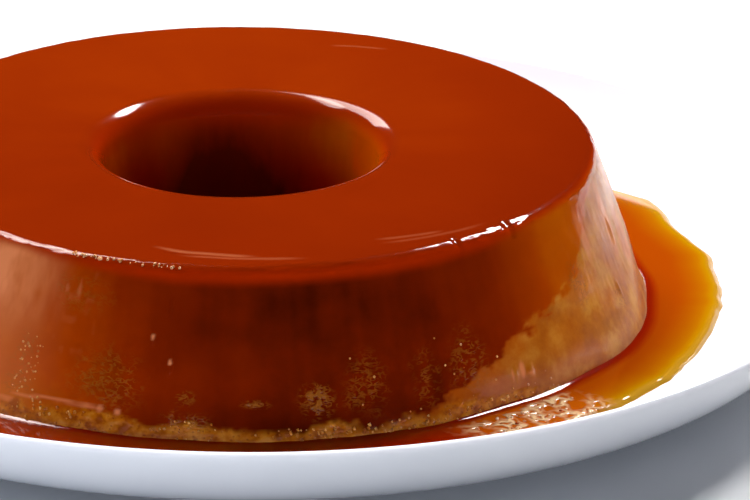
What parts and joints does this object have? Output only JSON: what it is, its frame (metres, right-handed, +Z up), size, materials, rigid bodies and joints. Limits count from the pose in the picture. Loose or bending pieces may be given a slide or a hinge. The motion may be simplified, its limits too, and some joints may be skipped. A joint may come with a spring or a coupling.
{
  "type": "creme caramel flan on its plate",
  "caption": "Creme caramel flan: a ring of custard with a caramel-soaked top, standing in its caramel sauce on a white coupe plate.",
  "frame": {"origin": "centre of the plate's foot ring, on the table", "axes": "+Z up, out of the ring's hole; +Y away from the side that the flan is seen from, +X to its right"},
  "size_m": [0.3204, 0.3204, 0.0524],
  "materials": {
    "porcelain": "glossy white glaze",
    "custard": "set custard under a wet caramel film, with fine pits",
    "caramel": "custard soaked with caramel, wet and glossy",
    "sauce": "clear amber caramel sauce, liquid"
  },
  "bodies": {
    "root": {"plate": "porcelain", "custard": "custard", "caramel_layer": "caramel", "sauce_pool": "sauce", "sauce_in_hole": "sauce"}
  },
  "joints": []
}
